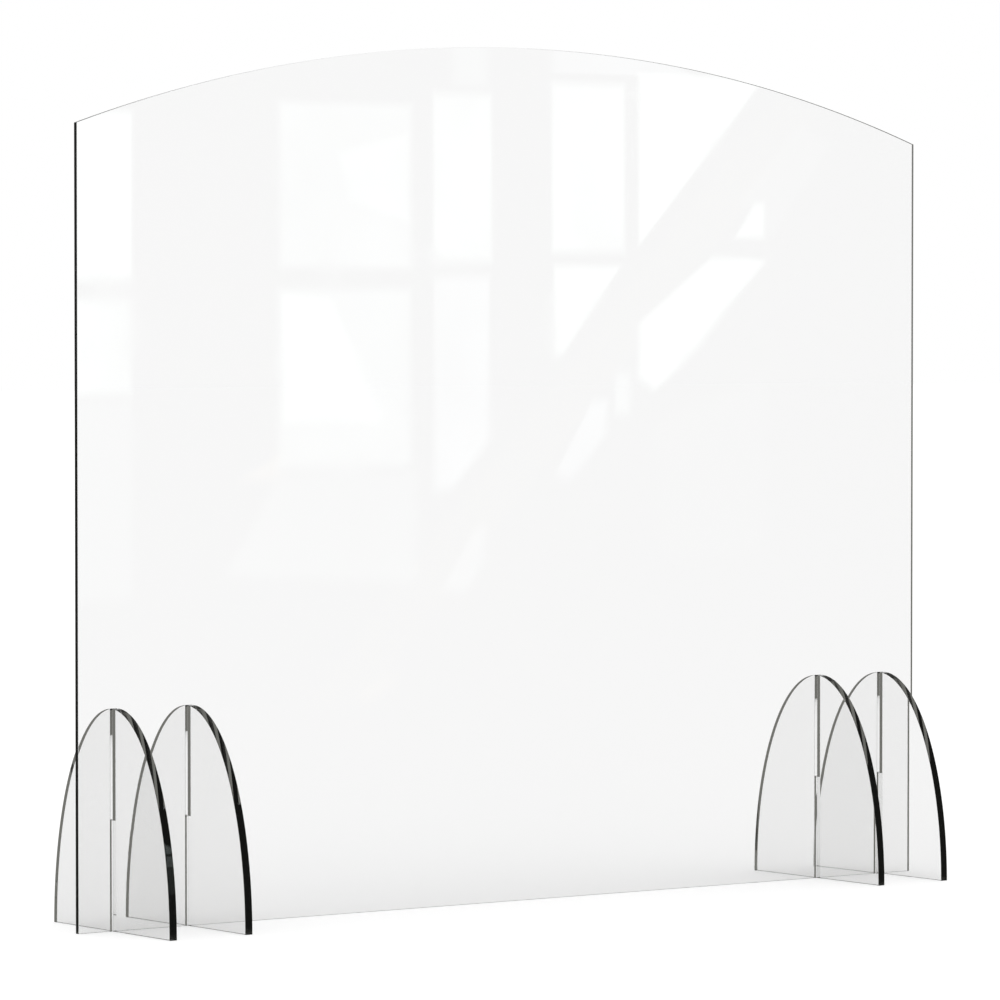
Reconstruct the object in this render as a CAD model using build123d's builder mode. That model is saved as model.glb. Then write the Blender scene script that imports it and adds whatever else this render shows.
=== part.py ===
"""Free-standing clear acrylic desk privacy panel.

One sheet with an arched top stands on four half-elliptical feet, a pair near each end.
Every foot crosses the panel at a right angle in a halved joint: the panel is slotted up
from its bottom edge, the foot is slotted down from its top, and the two slots meet at
half the foot's height. Nothing is glued or screwed. All sizes are in millimetres.

+X runs along the panel, +Y through its thickness, away from the person behind it, and
+Z up. The origin is on the desk, under the middle of the panel.
"""

from build123d import *
import os

os.makedirs("parts", exist_ok=True)

# Sheet stock
PANEL_THICKNESS = 5.0
FOOT_THICKNESS = 8.0

# Panel outline
PANEL_WIDTH = 1016.0
PANEL_CORNER_HEIGHT = 752.0
ARCH_RISE = 84.0

# Feet: half an ellipse standing on its long flat side
FOOT_LENGTH = 201.0
FOOT_HEIGHT = 208.0
END_TO_OUTER_FOOT = 41.0
OUTER_TO_INNER_FOOT = 83.4

# Halved joints
LAP_HEIGHT = FOOT_HEIGHT / 2
SIDE_CLEARANCE = 0.5
END_CLEARANCE = 0.4

# Polished edges are eased, not left sharp
EASED_EDGE = 0.3

OUTER_FOOT_X = PANEL_WIDTH / 2 - END_TO_OUTER_FOOT
INNER_FOOT_X = OUTER_FOOT_X - OUTER_TO_INNER_FOOT
FOOT_PLACES = {
    "foot_left_outer": -OUTER_FOOT_X,
    "foot_left_inner": -INNER_FOOT_X,
    "foot_right_inner": INNER_FOOT_X,
    "foot_right_outer": OUTER_FOOT_X,
}


def ease_broad_faces(axis):
    """Chamfer the whole outline of both broad faces, which look along the axis given."""
    broad_faces = faces().sort_by(axis)
    chamfer(broad_faces[0].edges() + broad_faces[-1].edges(), length=EASED_EDGE)


# The arched panel: straight sides and base, closed over the top by one circular arc
half_width = PANEL_WIDTH / 2
left_shoulder = (-half_width, PANEL_CORNER_HEIGHT)
right_shoulder = (half_width, PANEL_CORNER_HEIGHT)
crown = (0, PANEL_CORNER_HEIGHT + ARCH_RISE)

with BuildPart() as arched_panel:
    with BuildSketch(Plane.XZ):
        with BuildLine():
            Polyline(left_shoulder, (-half_width, 0), (half_width, 0), right_shoulder)
            ThreePointArc(right_shoulder, crown, left_shoulder)
        make_face()
        with Locations(*[(foot_x, 0) for foot_x in FOOT_PLACES.values()]):
            Rectangle(
                FOOT_THICKNESS + 2 * SIDE_CLEARANCE,
                LAP_HEIGHT + END_CLEARANCE,
                align=(Align.CENTER, Align.MIN),
                mode=Mode.SUBTRACT,
            )
    extrude(amount=PANEL_THICKNESS / 2, both=True)
    ease_broad_faces(Axis.Y)

arched_panel.part.label = "arched_panel"
export_step(arched_panel.part, "parts/arched_panel.step")

# The feet: the upper half of an ellipse, alike but for where each one crosses the panel
half_length = FOOT_LENGTH / 2

for foot_name, foot_x in FOOT_PLACES.items():
    with BuildPart() as foot:
        with BuildSketch(Plane.YZ.offset(foot_x)):
            with BuildLine():
                EllipticalCenterArc((0, 0), half_length, FOOT_HEIGHT, arc_size=180)
                Line((-half_length, 0), (half_length, 0))
            make_face()
            with Locations((0, FOOT_HEIGHT)):
                Rectangle(
                    PANEL_THICKNESS + 2 * SIDE_CLEARANCE,
                    FOOT_HEIGHT - LAP_HEIGHT + END_CLEARANCE,
                    align=(Align.CENTER, Align.MAX),
                    mode=Mode.SUBTRACT,
                )
        extrude(amount=FOOT_THICKNESS / 2, both=True)
        ease_broad_faces(Axis.X)
    foot.part.label = foot_name
    export_step(foot.part, f"parts/{foot_name}.step")
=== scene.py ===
import math

import bpy
from bpy.props import FloatProperty, FloatVectorProperty, PointerProperty
from mathutils import Matrix, Vector


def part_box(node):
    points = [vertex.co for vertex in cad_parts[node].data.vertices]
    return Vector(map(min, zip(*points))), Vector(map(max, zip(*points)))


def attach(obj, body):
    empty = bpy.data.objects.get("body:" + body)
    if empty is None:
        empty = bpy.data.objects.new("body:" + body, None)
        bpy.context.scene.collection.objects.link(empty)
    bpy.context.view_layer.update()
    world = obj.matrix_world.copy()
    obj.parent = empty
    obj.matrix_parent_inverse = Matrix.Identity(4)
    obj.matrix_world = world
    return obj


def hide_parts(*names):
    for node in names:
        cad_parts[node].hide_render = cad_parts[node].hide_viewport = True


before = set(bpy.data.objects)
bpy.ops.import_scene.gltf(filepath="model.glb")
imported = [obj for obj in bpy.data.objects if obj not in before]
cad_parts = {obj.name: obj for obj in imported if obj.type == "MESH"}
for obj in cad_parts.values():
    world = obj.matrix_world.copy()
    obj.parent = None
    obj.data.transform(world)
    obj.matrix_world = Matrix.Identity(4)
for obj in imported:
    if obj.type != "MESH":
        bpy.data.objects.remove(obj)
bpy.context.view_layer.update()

bl_info = {
    "name": "Desk Privacy Panel",
    "version": (1, 0, 0),
    "blender": (4, 5, 0),
    "location": "View3D > Sidebar > Privacy Panel",
    "description": "Builds a clear acrylic desk panel, its slot-together feet and a plain studio",
    "category": "Object",
}

MM = 0.001

PANEL_NODE = "arched_panel"
PANEL_BODY = "panel"
FOOT_NODES = ("foot_left_outer", "foot_left_inner", "foot_right_inner", "foot_right_outer")


def node_size(node):
    """Length, depth and height of a CAD node's box."""
    low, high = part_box(node)
    return high - low


def node_middle(node):
    """Middle of a CAD node's box."""
    low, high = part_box(node)
    return (low + high) / 2


PANEL_SIZE = node_size(PANEL_NODE)
FOOT_SIZE = node_size(FOOT_NODES[0])


class SheetSizes(bpy.types.PropertyGroup):
    """Sizes of the panel and the feet that the CAD boxes don't give by themselves."""

    corner_height: FloatProperty(
        name="Shoulder height",
        description="Height of the panel's two top corners above the desk, where the arch starts",
        default=752 * MM,
        min=0.1,
        unit="LENGTH",
    )
    crown_height: FloatProperty(
        name="Crown height",
        description="Height of the arch's top above the desk",
        default=836 * MM,
        min=0.1,
        unit="LENGTH",
    )
    foot_height: FloatProperty(
        name="Foot height",
        description="Height of a foot's whole ellipse, before the slot takes the tip away",
        default=208 * MM,
        min=0.02,
        unit="LENGTH",
    )
    side_clearance: FloatProperty(
        name="Slot side clearance",
        description="Gap on each side between a slot and the sheet that sits in it",
        default=0.5 * MM,
        min=0.0,
        unit="LENGTH",
    )
    end_clearance: FloatProperty(
        name="Slot end clearance",
        description="How much deeper each slot is cut than half the foot's height",
        default=0.4 * MM,
        min=0.0,
        unit="LENGTH",
    )
    eased_edge: FloatProperty(
        name="Eased edge",
        description="Radius left on every edge by the polishing flame",
        default=0.3 * MM,
        min=0.05 * MM,
        unit="LENGTH",
    )


class AcrylicFinish(bpy.types.PropertyGroup):
    """Finish of the acrylic: its clearness, its polish and the marks of use and of cutting."""

    face_tint: FloatVectorProperty(
        name="Face tint",
        description="What is left of white light after it crosses a face of the sheet",
        default=(1.0, 1.0, 1.0),
        size=3,
        min=0.0,
        max=1.0,
        subtype="COLOR",
    )
    dust_tint: FloatVectorProperty(
        name="Dust tint",
        description="Colour that a fleck of settled dust gives a face",
        default=(0.93, 0.93, 0.92),
        size=3,
        min=0.0,
        max=1.0,
        subtype="COLOR",
    )
    handling_haze: FloatProperty(
        name="Handling haze",
        description="Roughness of a face where hands and cloths have dulled it most",
        default=0.05,
        min=0.0,
        max=1.0,
        subtype="FACTOR",
    )


class StudioSettings(bpy.types.PropertyGroup):
    """Camera, floor and light of the studio."""

    camera_place: FloatVectorProperty(
        name="Camera place",
        description="Where the camera stands",
        default=(-3.2163, -4.3400, 0.5589),
        size=3,
        subtype="TRANSLATION",
        unit="LENGTH",
    )
    camera_heading: FloatProperty(
        name="Heading",
        description="Camera's turn away from square on",
        default=math.radians(36.365),
        subtype="ANGLE",
    )
    camera_tilt: FloatProperty(
        name="Tilt",
        description="How far the camera looks down",
        default=math.radians(1.751),
        subtype="ANGLE",
    )
    focal_length: FloatProperty(
        name="Focal length",
        description="Lens, in millimetres on a 36 mm wide sensor",
        default=198.4,
        min=1.0,
    )
    front_wall: FloatVectorProperty(
        name="Front of the room",
        description="Colour of the room in front of the panel, as the acrylic mirrors it",
        default=(0.17, 0.17, 0.157),
        size=3,
        min=0.0,
        subtype="COLOR",
    )
    back_wall: FloatVectorProperty(
        name="Back of the room",
        description="Colour of the room behind the panel, as the acrylic mirrors it",
        default=(0.19, 0.19, 0.18),
        size=3,
        min=0.0,
        subtype="COLOR",
    )
    pane_strength: FloatProperty(
        name="Window strength",
        description="Brightness of the window panes that the panel mirrors",
        default=1.0,
        min=0.0,
    )


# ---------------------------------------------------------------- outlines

# An outline is a list of runs, counter-clockwise, and a run is a list of points with their outward
# normals

ARCH_STEPS = 192
FOOT_SIDE_STEPS = 96
EASE_STEPS = 3

FACE, EDGE, SLOT_WALL = range(3)


def straight_run(start, end):
    """A straight stretch of outline."""
    along = (Vector(end) - Vector(start)).normalized()
    outward = (along.y, -along.x)
    return [(start, outward), (end, outward)]


def arc_run(centre, radius, start_angle, end_angle, steps):
    """A stretch of a circle."""
    run = []
    for step in range(steps + 1):
        angle = start_angle + (end_angle - start_angle) * step / steps
        outward = (math.cos(angle), math.sin(angle))
        run.append(((centre[0] + radius * outward[0], centre[1] + radius * outward[1]), outward))
    return run


def ellipse_run(half_length, height, start_angle, end_angle, steps):
    """A stretch of an ellipse around the origin."""
    run = []
    for step in range(steps + 1):
        angle = start_angle + (end_angle - start_angle) * step / steps
        point = (half_length * math.cos(angle), height * math.sin(angle))
        slope = Vector((math.cos(angle) / half_length, math.sin(angle) / height)).normalized()
        run.append((point, tuple(slope)))
    return run


def closed_ring(runs):
    """The outline's points, their mitres, and for every run the ring index of each of its points."""
    points, mitres, rings = [], [], []
    for number, run in enumerate(runs):
        first = len(points)
        rings.append([first + i for i in range(len(run))])
        before = Vector(runs[number - 1][-1][1])
        for i, (point, outward) in enumerate(run[:-1]):
            mitre = Vector(outward)
            if i == 0:
                mitre = (before + mitre) / (1 + before.dot(mitre))
            points.append(Vector(point))
            mitres.append(mitre)
    rings[-1][-1] = 0
    return points, mitres, rings


def edge_levels(thickness, eased):
    """The levels of a slab's rounded edge: the tilt of its normal, and its height from mid-sheet."""
    quarter = [math.pi / 2 * step / EASE_STEPS for step in range(EASE_STEPS + 1)]
    drops = [(angle, thickness / 2 - eased * (1 - math.sin(angle))) for angle in quarter]
    return [(-angle, -height) for angle, height in reversed(drops)] + drops


def tilted(outward, angle):
    """The outline's normal, tilted out of the sheet's plane."""
    return Vector((outward[0] * math.cos(angle), outward[1] * math.cos(angle), math.sin(angle)))


def add_object(name, mesh):
    """An object for the mesh, in the scene."""
    made = bpy.data.objects.new(name, mesh)
    bpy.context.scene.collection.objects.link(made)
    return made


def slab(name, runs, kinds, thickness, eased, to_frame):
    """A closed slab cut to an outline of runs, with rounded edges and exact normals."""
    points, mitres, rings = closed_ring(runs)
    levels = edge_levels(thickness, eased)
    count = len(points)
    vertices = []
    for angle, height in levels:
        inset = eased * (1 - math.cos(angle))
        for point, mitre in zip(points, mitres):
            edge = point - mitre * inset
            vertices.append(to_frame @ Vector((edge.x, edge.y, height)))

    turn = to_frame.to_3x3()
    last = (len(levels) - 1) * count
    faces = [[last + i for i in range(count)], [count - 1 - i for i in range(count)]]
    normals = [turn @ Vector((0, 0, 1))] * count + [turn @ Vector((0, 0, -1))] * count
    material_slots = [FACE, FACE]
    for run, ring, kind in zip(runs, rings, kinds):
        for i in range(len(run) - 1):
            for level in range(len(levels) - 1):
                corners = ((i, level), (i + 1, level), (i + 1, level + 1), (i, level + 1))
                faces.append([lift * count + ring[which] for which, lift in corners])
                normals += [turn @ tilted(run[which][1], levels[lift][0]) for which, lift in corners]
                material_slots.append(kind)
    mesh = bpy.data.meshes.new(name)
    mesh.from_pydata(vertices, [], faces)
    mesh.polygons.foreach_set("use_smooth", [True] * len(faces))
    mesh.polygons.foreach_set("material_index", material_slots)
    mesh.normals_split_custom_set(normals)
    mesh.validate()
    mesh.update()
    return add_object(name, mesh)


# ---------------------------------------------------------------- acrylic

ACRYLIC_IOR = 1.49

# Surface marks: scales are features per metre, turns are radians, and a rim is the pair of noise
# levels between which a mark fades in
HAIRLINE_SCALE = 900.0
HAIRLINE_TURNS = ((0.35, 0.5, 0.2), (-0.6, -0.25, 0.4))
HAIRLINE_STRETCH = 0.012
HAIRLINE_RIM = (0.66, 0.74)
WIPING_SCALE = 7.0
WIPING_SWIRL = 1.2
WIPING_RIM = (0.45, 0.75)
DUST_SCALE = 160.0
DUST_FLECK = 0.12
DUST_LAYER_HEIGHT = 0.35
DUST_ABOVE_LAYER = 0.35
DULL_SPOT_SCALE = 400.0
DULL_SPOT_RIM = (0.58, 0.72)
CUTTER_SCALE = 700.0
CUTTER_STRETCH = 0.03
FROST_SCALE = 2500.0

# How each kind of surface takes its marks: bump strength and depth, roughness and tints
FACE_RELIEF = (0.02, 0.02 * MM)
EDGE_RELIEF = (0.1, 0.05 * MM)
SLOT_RELIEF = (0.05, 0.02 * MM)
DULL_SPOT_ROUGHNESS = 0.03
FROST_ROUGHNESS = 0.04
EDGE_TINT = (0.985, 0.99, 0.985)
DULL_SPOT_TINT = (0.95, 0.955, 0.95)
SLOT_TINT = (1.0, 1.0, 1.0)
CUTTER_TINT = (0.97, 0.97, 0.965)

PANEL_DUST = 0.5
FOOT_DUST = 0.7
PANEL_WAVES = 60.0
FOOT_WAVES = 90.0

# What light does at a slot wall that it reaches from the open slot: the panel's slots let it pass
# straight, and the feet's slots turn it nearly square to the wall
PANEL_SLOT_ENTRY = ("ShaderNodeBsdfTransparent", {})
FOOT_SLOT_ENTRY = ("ShaderNodeBsdfRefraction", {"IOR": 60.0, "Roughness": 0.0})


def add_node(tree, kind, inputs=None, **settings):
    """A node with its settings made, and its sockets given a value or linked to another node's."""
    made = tree.nodes.new(kind)
    for setting, value in settings.items():
        setattr(made, setting, value)
    for socket, value in (inputs or {}).items():
        if isinstance(value, bpy.types.NodeSocket):
            tree.links.new(value, made.inputs[socket])
        else:
            made.inputs[socket].default_value = value
    return made


def new_group(name, inputs, outputs):
    """An empty node group, its input and output nodes, from (name, socket type, default) rows."""
    group = bpy.data.node_groups.new(name, "ShaderNodeTree")
    for socket_name, socket_type, default in inputs:
        socket = group.interface.new_socket(socket_name, in_out="INPUT", socket_type=socket_type)
        if default is not None:
            socket.default_value = default
    for socket_name, socket_type in outputs:
        group.interface.new_socket(socket_name, in_out="OUTPUT", socket_type=socket_type)
    given = add_node(group, "NodeGroupInput")
    result = add_node(group, "NodeGroupOutput")
    return group, given, result


def calculated(tree, operation, *values):
    """The result of one math operation on numbers or other nodes' outputs."""
    made = add_node(tree, "ShaderNodeMath", dict(enumerate(values)), operation=operation)
    return made.outputs[0]


def mixed(tree, factor, first, second):
    """A mix of two colours, each an (r, g, b) or another node's output."""
    ends = {}
    for socket, colour in (("A", first), ("B", second)):
        ends[socket] = colour if isinstance(colour, bpy.types.NodeSocket) else (*colour, 1.0)
    made = add_node(tree, "ShaderNodeMix", {"Factor": factor, **ends}, data_type="RGBA")
    return made.outputs["Result"]


def noise(tree, place, scale, detail, distortion=0.0):
    """The height of a noise texture."""
    made = add_node(
        tree,
        "ShaderNodeTexNoise",
        {"Vector": place, "Scale": scale, "Detail": detail, "Distortion": distortion},
    )
    return made.outputs["Fac"]


def smooth_step(tree, value, low, high):
    """0 below low, 1 above high and a soft change between them."""
    step = add_node(
        tree,
        "ShaderNodeMapRange",
        {"Value": value, "From Min": low, "From Max": high},
        interpolation_type="SMOOTHSTEP",
    )
    return step.outputs["Result"]


def hairline_group():
    """Fine wiping scratches: long thin streaks, far apart, in two directions."""
    group, given, result = new_group(
        "Wiping hairlines",
        [("Vector", "NodeSocketVector", None), ("Scale", "NodeSocketFloat", HAIRLINE_SCALE)],
        [("Height", "NodeSocketFloat")],
    )
    streaks = []
    for turn in HAIRLINE_TURNS:
        stretched = add_node(
            group,
            "ShaderNodeMapping",
            {
                "Vector": given.outputs["Vector"],
                "Rotation": turn,
                "Scale": (1.0, 1.0, HAIRLINE_STRETCH),
            },
        )
        streak = noise(group, stretched.outputs["Vector"], given.outputs["Scale"], detail=2.0)
        streaks.append(smooth_step(group, streak, *HAIRLINE_RIM))
    group.links.new(calculated(group, "MAXIMUM", *streaks), result.inputs["Height"])
    return group


def handling_group():
    """Marks of use on a face: broad wiped haze, and flecks of dust that thicken near the desk."""
    group, given, result = new_group(
        "Handling marks",
        [("Vector", "NodeSocketVector", None), ("Dust amount", "NodeSocketFloat", 0.5)],
        [("Haze", "NodeSocketFloat"), ("Dust", "NodeSocketFloat")],
    )
    wiped = noise(group, given.outputs["Vector"], WIPING_SCALE, detail=5.0, distortion=WIPING_SWIRL)
    group.links.new(smooth_step(group, wiped, *WIPING_RIM), result.inputs["Haze"])
    cell = add_node(
        group,
        "ShaderNodeTexVoronoi",
        {"Vector": given.outputs["Vector"], "Scale": DUST_SCALE, "Randomness": 1.0},
    )
    fleck_size = calculated(group, "MULTIPLY", given.outputs["Dust amount"], DUST_FLECK)
    fleck = calculated(group, "LESS_THAN", cell.outputs["Distance"], fleck_size)
    height = add_node(group, "ShaderNodeSeparateXYZ", {"Vector": given.outputs["Vector"]})
    low_down = add_node(
        group,
        "ShaderNodeMapRange",
        {
            "Value": height.outputs["Z"],
            "From Max": DUST_LAYER_HEIGHT,
            "To Min": 1.0,
            "To Max": DUST_ABOVE_LAYER,
        },
    )
    dust = calculated(group, "MULTIPLY", fleck, low_down.outputs["Result"])
    group.links.new(dust, result.inputs["Dust"])
    return group


def ripple_group():
    """The slight waviness that a polishing flame leaves along an edge, and its few dull spots."""
    group, given, result = new_group(
        "Flame ripple",
        [("Vector", "NodeSocketVector", None), ("Waves", "NodeSocketFloat", FOOT_WAVES)],
        [("Height", "NodeSocketFloat"), ("Dull spots", "NodeSocketFloat")],
    )
    wave = noise(group, given.outputs["Vector"], given.outputs["Waves"], detail=1.0)
    group.links.new(wave, result.inputs["Height"])
    spot = noise(group, given.outputs["Vector"], DULL_SPOT_SCALE, detail=3.0)
    group.links.new(smooth_step(group, spot, *DULL_SPOT_RIM), result.inputs["Dull spots"])
    return group


def cutter_group():
    """Cutter lines straight through the sheet's thickness, unevenly spaced, on frosted ground."""
    group, given, result = new_group(
        "Cutter lines",
        [("Vector", "NodeSocketVector", None), ("Lines", "NodeSocketFloat", CUTTER_SCALE)],
        [("Height", "NodeSocketFloat"), ("Frost", "NodeSocketFloat")],
    )
    squeezed = add_node(
        group,
        "ShaderNodeMapping",
        {"Vector": given.outputs["Vector"], "Scale": (CUTTER_STRETCH, CUTTER_STRETCH, 1.0)},
    )
    line = noise(group, squeezed.outputs["Vector"], given.outputs["Lines"], detail=2.0)
    frost = noise(group, given.outputs["Vector"], FROST_SCALE, detail=2.0)
    group.links.new(line, result.inputs["Height"])
    group.links.new(frost, result.inputs["Frost"])
    return group


def mirrored_only(tree):
    """1 for what the acrylic mirrors, 0 for what is seen straight or through it."""
    path = add_node(tree, "ShaderNodeLightPath")
    return calculated(tree, "GREATER_THAN", path.outputs["Glossy Depth"], 0.5)


def acrylic_material(name):
    """A clear acrylic material, its shader and its place in the sheet, before any surface marks."""
    material = bpy.data.materials.new(name)
    material.use_nodes = True
    tree = material.node_tree
    shader = tree.nodes["Principled BSDF"]
    shader.inputs["Transmission Weight"].default_value = 1.0
    shader.inputs["IOR"].default_value = ACRYLIC_IOR
    place = add_node(tree, "ShaderNodeTexCoord").outputs["Object"]
    return material, tree, shader, place


def bumped(tree, shader, height, strength, distance):
    """Raises the shader's surface by a height map."""
    bump = add_node(
        tree,
        "ShaderNodeBump",
        {"Height": height, "Strength": strength, "Distance": distance},
    )
    tree.links.new(bump.outputs["Normal"], shader.inputs["Normal"])


def blend_shaders(tree, factor, first, second):
    """Sends a mix of two shaders to the material's surface."""
    both = add_node(
        tree,
        "ShaderNodeMixShader",
        {0: factor, 1: first.outputs[0], 2: second.outputs[0]},
    )
    tree.links.new(both.outputs[0], tree.nodes["Material Output"].inputs["Surface"])


def group_node(tree, group, inputs):
    """A shared effect placed in a material with its own values."""
    return add_node(tree, "ShaderNodeGroup", inputs, node_tree=group)


def face_material(name, finish, groups, dust_amount):
    """The sheet's broad faces: clear, with handling haze, dust and wiping hairlines."""
    material, tree, shader, place = acrylic_material(name)
    marks = group_node(tree, groups["handling"], {"Vector": place, "Dust amount": dust_amount})
    lines = group_node(tree, groups["hairlines"], {"Vector": place, "Scale": HAIRLINE_SCALE})
    colour = mixed(tree, marks.outputs["Dust"], finish.face_tint, finish.dust_tint)
    tree.links.new(colour, shader.inputs["Base Color"])
    rough = calculated(tree, "MULTIPLY", marks.outputs["Haze"], finish.handling_haze)
    tree.links.new(rough, shader.inputs["Roughness"])
    bumped(tree, shader, lines.outputs["Height"], *FACE_RELIEF)
    return material


def edge_material(name, groups, waves):
    """The outer edges: polished by flame, with a slight ripple and a few dull spots."""
    material, tree, shader, place = acrylic_material(name)
    ripple = group_node(tree, groups["ripple"], {"Vector": place, "Waves": waves})
    colour = mixed(tree, ripple.outputs["Dull spots"], EDGE_TINT, DULL_SPOT_TINT)
    tree.links.new(colour, shader.inputs["Base Color"])
    rough = calculated(tree, "MULTIPLY", ripple.outputs["Dull spots"], DULL_SPOT_ROUGHNESS)
    tree.links.new(rough, shader.inputs["Roughness"])
    bumped(tree, shader, ripple.outputs["Height"], *EDGE_RELIEF)
    return material


def slot_material(name, groups, entry):
    """The slot walls, as the cutter left them, with an entry shader for light from the open slot."""
    material, tree, shader, place = acrylic_material(name)
    cut = group_node(tree, groups["cutter"], {"Vector": place, "Lines": CUTTER_SCALE})
    colour = mixed(tree, cut.outputs["Height"], SLOT_TINT, CUTTER_TINT)
    tree.links.new(colour, shader.inputs["Base Color"])
    rough = calculated(tree, "MULTIPLY", cut.outputs["Frost"], FROST_ROUGHNESS)
    tree.links.new(rough, shader.inputs["Roughness"])
    bumped(tree, shader, cut.outputs["Height"], *SLOT_RELIEF)
    backfacing = add_node(tree, "ShaderNodeNewGeometry").outputs["Backfacing"]
    from_inside = calculated(tree, "MAXIMUM", backfacing, mirrored_only(tree))
    open_wall = add_node(tree, entry[0], entry[1])
    blend_shaders(tree, from_inside, open_wall, shader)
    return material


def acrylic_groups():
    """The surface effects, built once and shared by every piece."""
    makers = {
        "hairlines": ("Wiping hairlines", hairline_group),
        "handling": ("Handling marks", handling_group),
        "ripple": ("Flame ripple", ripple_group),
        "cutter": ("Cutter lines", cutter_group),
    }
    groups = {}
    for key, (name, make) in makers.items():
        groups[key] = bpy.data.node_groups.get(name) or make()
    return groups


# ---------------------------------------------------------------- sheets


def make_panel(sizes):
    """The arched panel, with a slot up from its bottom edge at each foot."""
    half = PANEL_SIZE.x / 2
    rise = sizes.crown_height - sizes.corner_height
    radius = (half * half + rise * rise) / (2 * rise)
    centre = (0, sizes.crown_height - radius)
    sweep = math.asin(half / radius)
    slot_half = FOOT_SIZE.x / 2 + sizes.side_clearance
    slot_top = sizes.foot_height / 2 + sizes.end_clearance
    runs, kinds = [], []
    at = (-half, 0)
    for node in FOOT_NODES:
        middle = node_middle(node).x
        corners = [
            (middle - slot_half, 0),
            (middle - slot_half, slot_top),
            (middle + slot_half, slot_top),
            (middle + slot_half, 0),
        ]
        runs.append(straight_run(at, corners[0]))
        runs += [straight_run(a, b) for a, b in zip(corners, corners[1:])]
        kinds += [EDGE, SLOT_WALL, SLOT_WALL, SLOT_WALL]
        at = corners[-1]
    runs += [
        straight_run(at, (half, 0)),
        straight_run((half, 0), (half, sizes.corner_height)),
        arc_run(centre, radius, math.pi / 2 - sweep, math.pi / 2 + sweep, ARCH_STEPS),
        straight_run((-half, sizes.corner_height), (-half, 0)),
    ]
    kinds += [EDGE] * 4
    upright = Matrix(((1, 0, 0, 0), (0, 0, -1, 0), (0, 1, 0, 0), (0, 0, 0, 1)))
    return slab("panel_sheet", runs, kinds, PANEL_SIZE.y, sizes.eased_edge, upright)


def make_foot(node, sizes):
    """A half-elliptical foot, with a slot down from its tip for the panel."""
    half = FOOT_SIZE.y / 2
    slot_half = PANEL_SIZE.y / 2 + sizes.side_clearance
    slot_floor = sizes.foot_height / 2 - sizes.end_clearance
    tip = math.acos(slot_half / half)
    tip_height = sizes.foot_height * math.sin(tip)
    runs = [
        straight_run((-half, 0), (half, 0)),
        ellipse_run(half, sizes.foot_height, 0, tip, FOOT_SIDE_STEPS),
        straight_run((slot_half, tip_height), (slot_half, slot_floor)),
        straight_run((slot_half, slot_floor), (-slot_half, slot_floor)),
        straight_run((-slot_half, slot_floor), (-slot_half, tip_height)),
        ellipse_run(half, sizes.foot_height, math.pi - tip, math.pi, FOOT_SIDE_STEPS),
    ]
    kinds = [EDGE, EDGE, SLOT_WALL, SLOT_WALL, SLOT_WALL, EDGE]
    middle = node_middle(node).x
    across = Matrix(((0, 0, 1, middle), (1, 0, 0, 0), (0, 1, 0, 0), (0, 0, 0, 1)))
    name = node.replace("foot", "foot_sheet")
    return slab(name, runs, kinds, FOOT_SIZE.x, sizes.eased_edge, across)


class PRIVACYPANEL_OT_panel(bpy.types.Operator):
    """Cut the arched panel"""

    bl_idname = "privacy_panel.cut_panel"
    bl_label = "Arched Panel"

    def execute(self, context):
        finish = context.scene.privacy_panel_finish
        groups = acrylic_groups()
        piece = make_panel(context.scene.privacy_panel_sizes)
        for material in (
            face_material("panel clear face", finish, groups, PANEL_DUST),
            edge_material("panel polished edge", groups, PANEL_WAVES),
            slot_material("panel cut slot wall", groups, PANEL_SLOT_ENTRY),
        ):
            piece.data.materials.append(material)
        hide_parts(PANEL_NODE)
        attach(piece, PANEL_BODY)
        return {"FINISHED"}


class PRIVACYPANEL_OT_feet(bpy.types.Operator):
    """Cut the four feet"""

    bl_idname = "privacy_panel.cut_feet"
    bl_label = "Feet"

    def execute(self, context):
        finish = context.scene.privacy_panel_finish
        groups = acrylic_groups()
        materials = (
            face_material("foot clear face", finish, groups, FOOT_DUST),
            edge_material("foot polished edge", groups, FOOT_WAVES),
            slot_material("foot cut slot wall", groups, FOOT_SLOT_ENTRY),
        )
        for node in FOOT_NODES:
            piece = make_foot(node, context.scene.privacy_panel_sizes)
            for material in materials:
                piece.data.materials.append(material)
            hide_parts(node)
            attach(piece, node)
        return {"FINISHED"}


# ---------------------------------------------------------------- studio

SENSOR_WIDTH = 36
WHITE = (1.0, 1.0, 1.0)

# The floor's light is partly its own and partly shaded by the sheets; seen bare, it gets a little more
FLOOR_HALF_SIDE = 40.0
FLOOR_GAP = 0.3 * MM
FLOOR_OWN_LIGHT = 0.57
FLOOR_SHADE = 0.43
FLOOR_OPEN_LIFT = 0.12

# The white backdrop behind the panel: which way it is, and the cosines where it fades into the room
BACKDROP_DIRECTION = (0.593, 0.805, 0.0)
BACKDROP_EDGE = (0.93, 0.97)

# Where the front of the room fades into its back, in the Y of the direction looked at
ROOM_TURN = (-0.3, 0.3)

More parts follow.
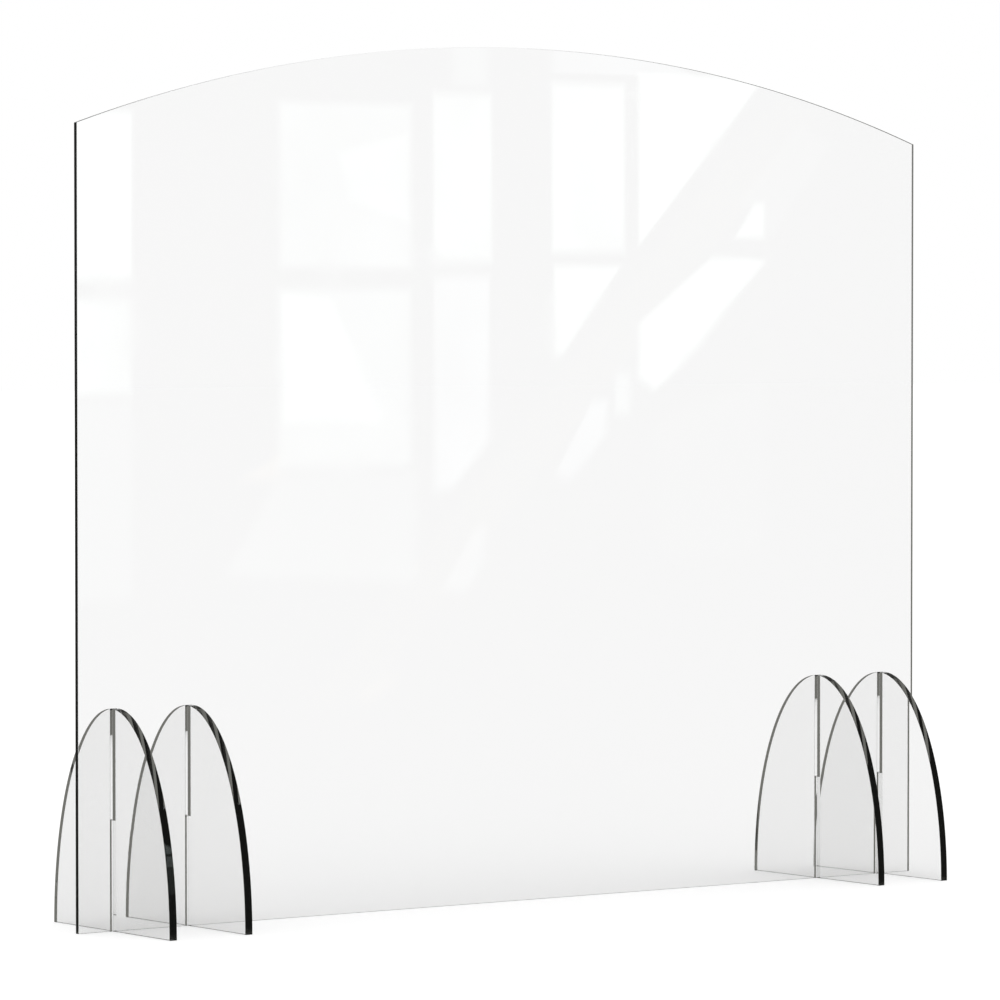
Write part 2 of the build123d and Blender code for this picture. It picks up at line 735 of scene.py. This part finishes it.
# Window panes on the room's front wall: corners as (x, z) in metres, how bright, and which light
WALL_DISTANCE = 2.0
DAYLIGHT = (0.88, 1.0, 0.96)
SKYLIGHT = (0.88, 0.96, 1.0)
LAMPLIGHT = (1.0, 0.80, 0.50)
WINDOW_PANES = (
    (((0.725, 0.625), (0.83, 0.625), (0.83, 0.86), (0.725, 0.86)), 1.1, DAYLIGHT),
    (((0.725, 0.47), (0.83, 0.47), (0.83, 0.605), (0.725, 0.605)), 1.0, DAYLIGHT),
    (((0.74, 0.19), (0.83, 0.19), (0.83, 0.47), (0.74, 0.47)), 0.28, DAYLIGHT),
    (((1.07, 0.645), (1.30, 0.645), (1.30, 0.88), (1.07, 0.88)), 0.62, DAYLIGHT),
    (((1.19, 0.74), (1.295, 0.71), (1.295, 0.84), (1.17, 0.81)), 0.35, DAYLIGHT),
    (((1.335, 0.655), (1.44, 0.655), (1.44, 0.90), (1.335, 0.90)), 0.95, DAYLIGHT),
    (((1.37, 0.905), (1.435, 0.905), (1.435, 0.97), (1.37, 0.97)), 0.4, DAYLIGHT),
    (((1.07, 0.365), (1.30, 0.365), (1.30, 0.62), (1.07, 0.62)), 0.6, DAYLIGHT),
    (((1.08, 0.43), (1.25, 0.43), (1.16, 0.61), (1.08, 0.61)), 0.55, DAYLIGHT),
    (((0.98, 0.22), (1.31, 0.20), (1.31, 0.36), (1.07, 0.36)), 0.24, DAYLIGHT),
    (((1.00, 0.35), (1.08, 0.35), (1.08, 0.39)), 0.3, LAMPLIGHT),
    (((1.34, 0.33), (1.37, 0.33), (1.44, 0.40), (1.44, 0.64), (1.34, 0.64)), 0.68, SKYLIGHT),
    (((1.55, 0.67), (1.685, 0.67), (1.685, 0.92), (1.55, 0.92)), 1.0, DAYLIGHT),
    (((1.55, 0.93), (1.82, 0.93), (1.70, 0.99), (1.55, 0.99)), 0.45, SKYLIGHT),
    (((1.555, 0.52), (1.57, 0.52), (1.68, 0.655), (1.555, 0.655)), 1.1, DAYLIGHT),
    (((1.71, 0.68), (1.95, 0.935), (1.71, 0.935)), 1.3, DAYLIGHT),
    (((1.71, 0.57), (1.71, 0.49), (1.74, 0.47), (1.82, 0.53), (1.955, 0.665), (1.85, 0.67)), 1.2, DAYLIGHT),
    (((1.89, 0.695), (1.95, 0.695), (1.95, 0.75), (1.93, 0.75)), 1.1, DAYLIGHT),
    (((1.90, 0.75), (2.02, 0.87), (2.08, 0.84), (1.96, 0.69)), 0.12, DAYLIGHT),
    (((1.67, 0.435), (1.70, 0.435), (1.70, 0.50), (1.67, 0.50)), 0.6, DAYLIGHT),
    (((1.56, 0.35), (1.59, 0.34), (1.66, 0.41), (1.66, 0.46), (1.63, 0.46)), 0.6, SKYLIGHT),
    (((1.36, 0.19), (1.40, 0.18), (1.44, 0.23), (1.44, 0.28), (1.42, 0.28)), 0.4, SKYLIGHT),
    (((1.76, 0.22), (1.96, 0.23), (1.96, 0.50), (1.74, 0.42)), 0.07, DAYLIGHT),
    (((1.12, 0.03), (1.22, 0.03), (2.06, 0.89), (1.98, 0.91)), 0.05, LAMPLIGHT),
    (((1.21, 0.04), (1.27, 0.08), (1.30, 0.07), (1.24, 0.03)), 0.2, LAMPLIGHT),
)

# A pane fades out from a rim inside its corners to one outside them, and each stands a step behind
# the one before, so that panes may overlap
PANE_SOFT_RIM = 14 * MM
PANE_SPREAD = 5 * MM
PANE_STEP = 1 * MM

# Unevenness of the daylight
OUTDOORS_SCALE = 7.0
OUTDOORS_CONTRAST = 1.2
OUTDOORS_LEAST = 0.4


def make_camera(studio):
    """The camera, where it sees the panel from its front left."""
    camera = add_object("camera", bpy.data.cameras.new("camera"))
    camera.data.lens = studio.focal_length
    camera.data.sensor_width = SENSOR_WIDTH
    camera.location = studio.camera_place
    camera.rotation_euler = (math.pi / 2 - studio.camera_tilt, 0, -studio.camera_heading)
    return camera


def stage_material(name):
    """An empty material for a piece of the stage."""
    material = bpy.data.materials.new(name)
    material.use_nodes = True
    tree = material.node_tree
    tree.nodes.remove(tree.nodes["Principled BSDF"])
    return material, tree


def floor_material(studio):
    """A white table, softly shaded, which the acrylic mirrors as dimly as it does the room."""
    material, tree = stage_material("white table")
    path = add_node(tree, "ShaderNodeLightPath")
    seen_bare = path.outputs["Is Camera Ray"]
    own_light = calculated(tree, "MULTIPLY_ADD", seen_bare, FLOOR_OPEN_LIFT, FLOOR_OWN_LIGHT)
    glow = add_node(tree, "ShaderNodeEmission", {"Strength": own_light})
    shade = add_node(tree, "ShaderNodeBsdfDiffuse", {"Color": (*[FLOOR_SHADE] * 3, 1.0)})
    plain = add_node(tree, "ShaderNodeAddShader", {0: glow.outputs[0], 1: shade.outputs[0]})
    in_mirror = add_node(tree, "ShaderNodeEmission", {"Color": (*studio.front_wall, 1.0)})
    blend_shaders(tree, mirrored_only(tree), plain, in_mirror)
    return material


def make_floor(studio):
    """The table under the panel, just clear of the feet."""
    ends = (-FLOOR_HALF_SIDE, FLOOR_HALF_SIDE)
    corners = [(x, y, -FLOOR_GAP) for x in ends for y in ends]
    mesh = bpy.data.meshes.new("floor")
    mesh.from_pydata(corners, [], [(0, 2, 3, 1)])
    mesh.materials.append(floor_material(studio))
    add_object("floor", mesh)


def pane_material(studio):
    """Daylight through the window, which only the acrylic's mirrored light can see."""
    material, tree = stage_material("window daylight")
    place = add_node(tree, "ShaderNodeTexCoord").outputs["Object"]
    outdoors = noise(tree, place, OUTDOORS_SCALE, detail=3.0)
    contrast = OUTDOORS_CONTRAST * studio.pane_strength
    least = OUTDOORS_LEAST * studio.pane_strength
    uneven = calculated(tree, "MULTIPLY_ADD", outdoors, contrast, least)
    glow = add_node(tree, "ShaderNodeAttribute", attribute_name="glow").outputs["Color"]
    light = add_node(tree, "ShaderNodeEmission", {"Color": glow, "Strength": uneven})
    clear = add_node(tree, "ShaderNodeBsdfTransparent")
    lit = add_node(tree, "ShaderNodeAddShader", {0: clear.outputs[0], 1: light.outputs[0]})
    blend_shaders(tree, mirrored_only(tree), clear, lit)
    return material


def make_window(studio):
    """The window panes, each a bright polygon whose rim fades out."""
    vertices, faces, glows = [], [], []
    for order, (corners, brightness, tint) in enumerate(WINDOW_PANES):
        depth = -WALL_DISTANCE - PANE_STEP * order
        glow = [brightness * channel for channel in tint]
        middle = sum((Vector(corner) for corner in corners), Vector((0, 0))) / len(corners)
        first, count = len(vertices), len(corners)
        for spread, colour in ((-PANE_SOFT_RIM, (*glow, 1.0)), (PANE_SPREAD, (0.0, 0.0, 0.0, 1.0))):
            for corner in corners:
                point = Vector(corner) + (Vector(corner) - middle).normalized() * spread
                vertices.append((point.x, depth, point.y))
                glows.extend(colour)
        faces.append([first + i for i in range(count)])
        for i in range(count):
            after = (i + 1) % count
            faces.append([first + i, first + after, first + count + after, first + count + i])
    mesh = bpy.data.meshes.new("window")
    mesh.from_pydata(vertices, [], faces)
    mesh.color_attributes.new("glow", "FLOAT_COLOR", "POINT").data.foreach_set("color", glows)
    mesh.materials.append(pane_material(studio))
    window = add_object("window", mesh)
    window.visible_diffuse = False
    window.visible_shadow = False


def make_room_light(studio):
    """White light all round, and the dimmer room that the acrylic mirrors."""
    world = bpy.data.worlds.new("studio")
    world.use_nodes = True
    tree = world.node_tree
    direction = add_node(tree, "ShaderNodeTexCoord").outputs["Generated"]
    across = add_node(tree, "ShaderNodeSeparateXYZ", {"Vector": direction}).outputs["Y"]
    room = mixed(tree, smooth_step(tree, across, *ROOM_TURN), studio.front_wall, studio.back_wall)
    toward_backdrop = add_node(
        tree,
        "ShaderNodeVectorMath",
        {0: direction, 1: BACKDROP_DIRECTION},
        operation="DOT_PRODUCT",
    )
    backdrop = smooth_step(tree, toward_backdrop.outputs["Value"], *BACKDROP_EDGE)
    light = mixed(tree, mirrored_only(tree), WHITE, mixed(tree, backdrop, room, WHITE))
    tree.links.new(light, tree.nodes["Background"].inputs["Color"])
    return world


class PRIVACYPANEL_OT_stage(bpy.types.Operator):
    """Set up the floor, the light and the camera"""

    bl_idname = "privacy_panel.set_stage"
    bl_label = "Stage"

    def execute(self, context):
        scene = context.scene
        studio = scene.privacy_panel_studio
        scene.view_settings.view_transform = "Standard"
        scene.camera = make_camera(studio)
        scene.world = make_room_light(studio)
        make_floor(studio)
        make_window(studio)
        return {"FINISHED"}


class PRIVACYPANEL_PT_sidebar(bpy.types.Panel):
    """The sidebar's tab, with a button for each operator"""

    bl_label = "Privacy Panel"
    bl_idname = "PRIVACYPANEL_PT_sidebar"
    bl_space_type = "VIEW_3D"
    bl_region_type = "UI"
    bl_category = "Privacy Panel"

    def draw(self, context):
        for operator in OPERATORS:
            self.layout.operator(operator.bl_idname)


OPERATORS = (PRIVACYPANEL_OT_panel, PRIVACYPANEL_OT_feet, PRIVACYPANEL_OT_stage)
CLASSES = (SheetSizes, AcrylicFinish, StudioSettings) + OPERATORS + (PRIVACYPANEL_PT_sidebar,)


def register():
    for cls in CLASSES:
        bpy.utils.register_class(cls)
    bpy.types.Scene.privacy_panel_sizes = PointerProperty(type=SheetSizes)
    bpy.types.Scene.privacy_panel_finish = PointerProperty(type=AcrylicFinish)
    bpy.types.Scene.privacy_panel_studio = PointerProperty(type=StudioSettings)


def unregister():
    del bpy.types.Scene.privacy_panel_studio
    del bpy.types.Scene.privacy_panel_finish
    del bpy.types.Scene.privacy_panel_sizes
    for cls in reversed(CLASSES):
        bpy.utils.unregister_class(cls)


def main():
    register()
    bpy.ops.privacy_panel.cut_panel()
    bpy.ops.privacy_panel.cut_feet()
    bpy.ops.privacy_panel.set_stage()


if __name__ == "__main__":
    main()
